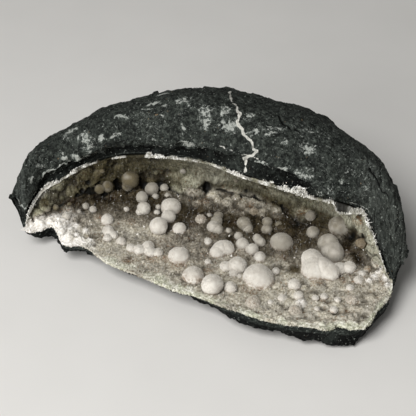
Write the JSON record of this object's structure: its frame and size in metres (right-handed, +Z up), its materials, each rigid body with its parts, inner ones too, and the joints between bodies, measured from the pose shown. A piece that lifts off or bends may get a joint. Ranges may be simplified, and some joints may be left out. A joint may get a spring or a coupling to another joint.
{
  "type": "mineral specimen",
  "caption": "Broken dark rock nodule, its hollow lined with grey quartz crystals and dotted with white fibrous okenite puffballs; it stands on its flat underside.",
  "frame": {"origin": "middle of the specimen's bounding box at the level of its flat base", "axes": "+X along the rock, +Y from its open front to its back, +Z up"},
  "size_m": [0.19, 0.1426, 0.074],
  "materials": {
    "basalt": "matte, granular broken basalt with a weathered skin",
    "druse": "sparkling crust of small quartz crystals",
    "okenite": "velvety, from fine radiating fibres",
    "coated_okenite": "puffball dusted with small quartz grains"
  },
  "bodies": {
    "root": {"basalt_matrix": "basalt", "quartz_crust": "druse", "puff_back_dim": "okenite", "puff_back_left": "okenite", "puff_back_middle": "okenite", "puff_back_small": "okenite", "puff_left_upper": "okenite", "puff_left_second": "okenite", "puff_left_stack": "okenite", "puff_left_round": "okenite", "puff_left_low": "okenite", "puff_left_bead_high": "okenite", "puff_left_beads": "okenite", "puff_left_bead_low": "okenite", "puff_left_row": "okenite", "puff_left_dome": "okenite", "puff_front_cracked": "okenite", "puff_front_edge": "okenite", "puff_front_small": "okenite", "puff_centre_group": "okenite", "puff_centre_pair": "okenite", "puff_centre_low": "okenite", "puff_centre_small": "okenite", "puff_centre_right": "okenite", "puff_centre_beads": "okenite", "puff_centre_dome": "okenite", "puff_coated_middle": "coated_okenite", "puff_coated_back": "coated_okenite", "puff_right_back": "okenite", "puff_right_twin": "okenite", "puff_right_dome": "okenite", "puff_largest": "okenite", "puff_front_round": "okenite", "puff_front_lower": "okenite", "puff_front_flat": "okenite", "puff_coated_front": "coated_okenite", "puff_coated_low": "coated_okenite", "puff_right_round": "okenite", "puff_right_high": "okenite", "puff_wall_dome": "okenite", "puff_right_tall": "okenite", "puff_right_cluster": "okenite", "puff_wall_brown": "coated_okenite", "puff_right_flat": "okenite", "puff_front_bead": "okenite", "puff_coated_right": "coated_okenite", "puff_far_left": "okenite"}
  },
  "joints": []
}
